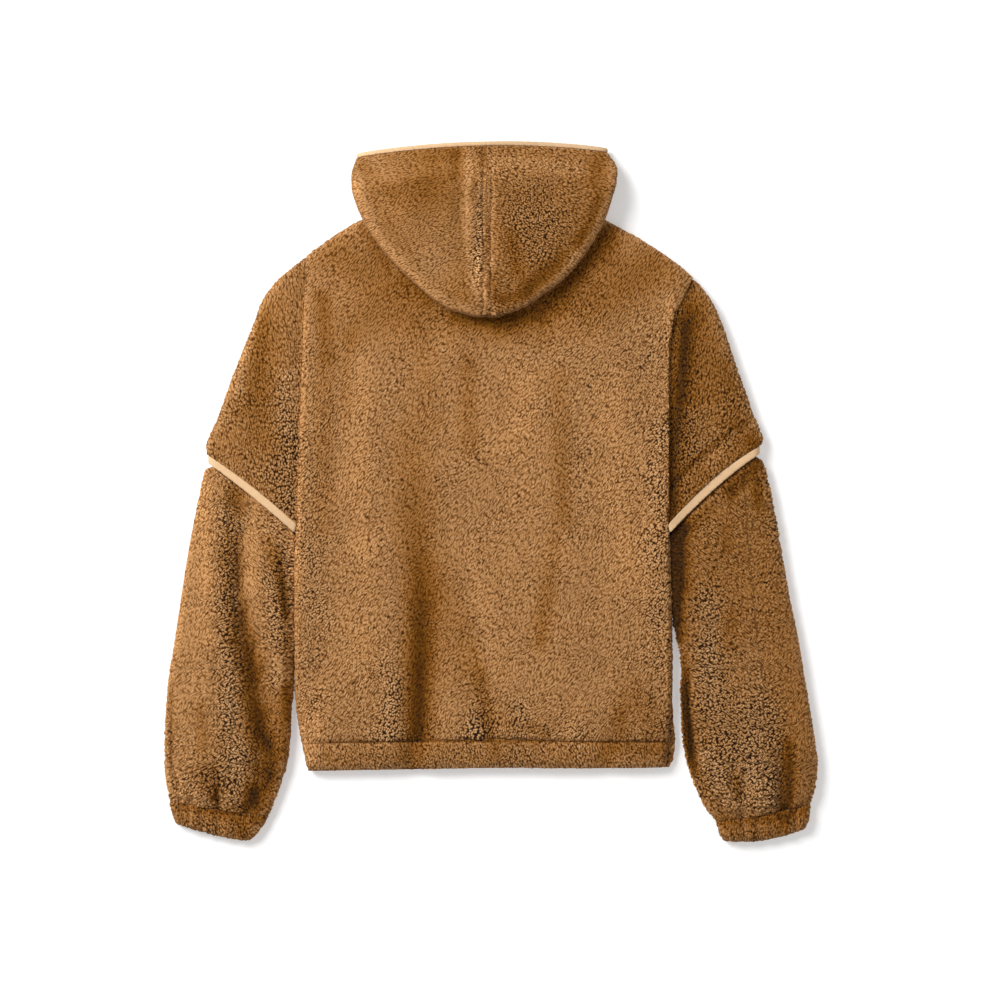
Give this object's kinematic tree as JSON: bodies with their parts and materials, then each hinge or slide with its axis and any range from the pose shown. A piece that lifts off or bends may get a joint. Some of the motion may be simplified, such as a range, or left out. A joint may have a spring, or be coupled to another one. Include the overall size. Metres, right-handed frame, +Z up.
{
  "type": "fleece hoodie",
  "caption": "High-pile fleece hoodie laid flat with its back up, hood folded down over the back, two-tier sleeves with bound edges, gathered cuffs and a hem band.",
  "frame": {"origin": "centre of the footprint, on the surface that the garment lies on", "axes": "+Z up, out of the garment's back; +Y from the hem towards the hood; +X to the right as seen from above, which is the wearer's right"},
  "size_m": [0.7515, 0.8063, 0.0455],
  "materials": {
    "fleece": "tan-brown high-pile fleece, curled tufts 4 to 5 mm across, matt with a soft sheen",
    "binding": "beige fine-knit binding with a soft sheen"
  },
  "bodies": {
    "root": {"back_panel": "fleece", "front_panel": "fleece", "hem_band_back": "fleece", "hem_band_front": "fleece", "upper_sleeve_left": "fleece", "upper_sleeve_right": "fleece", "lower_sleeve_left": "fleece", "lower_sleeve_right": "fleece", "cuff_left": "fleece", "cuff_right": "fleece", "hood_left": "fleece", "hood_right": "fleece", "sleeve_binding_left": "binding", "sleeve_binding_right": "binding", "hood_binding": "binding"}
  },
  "joints": []
}
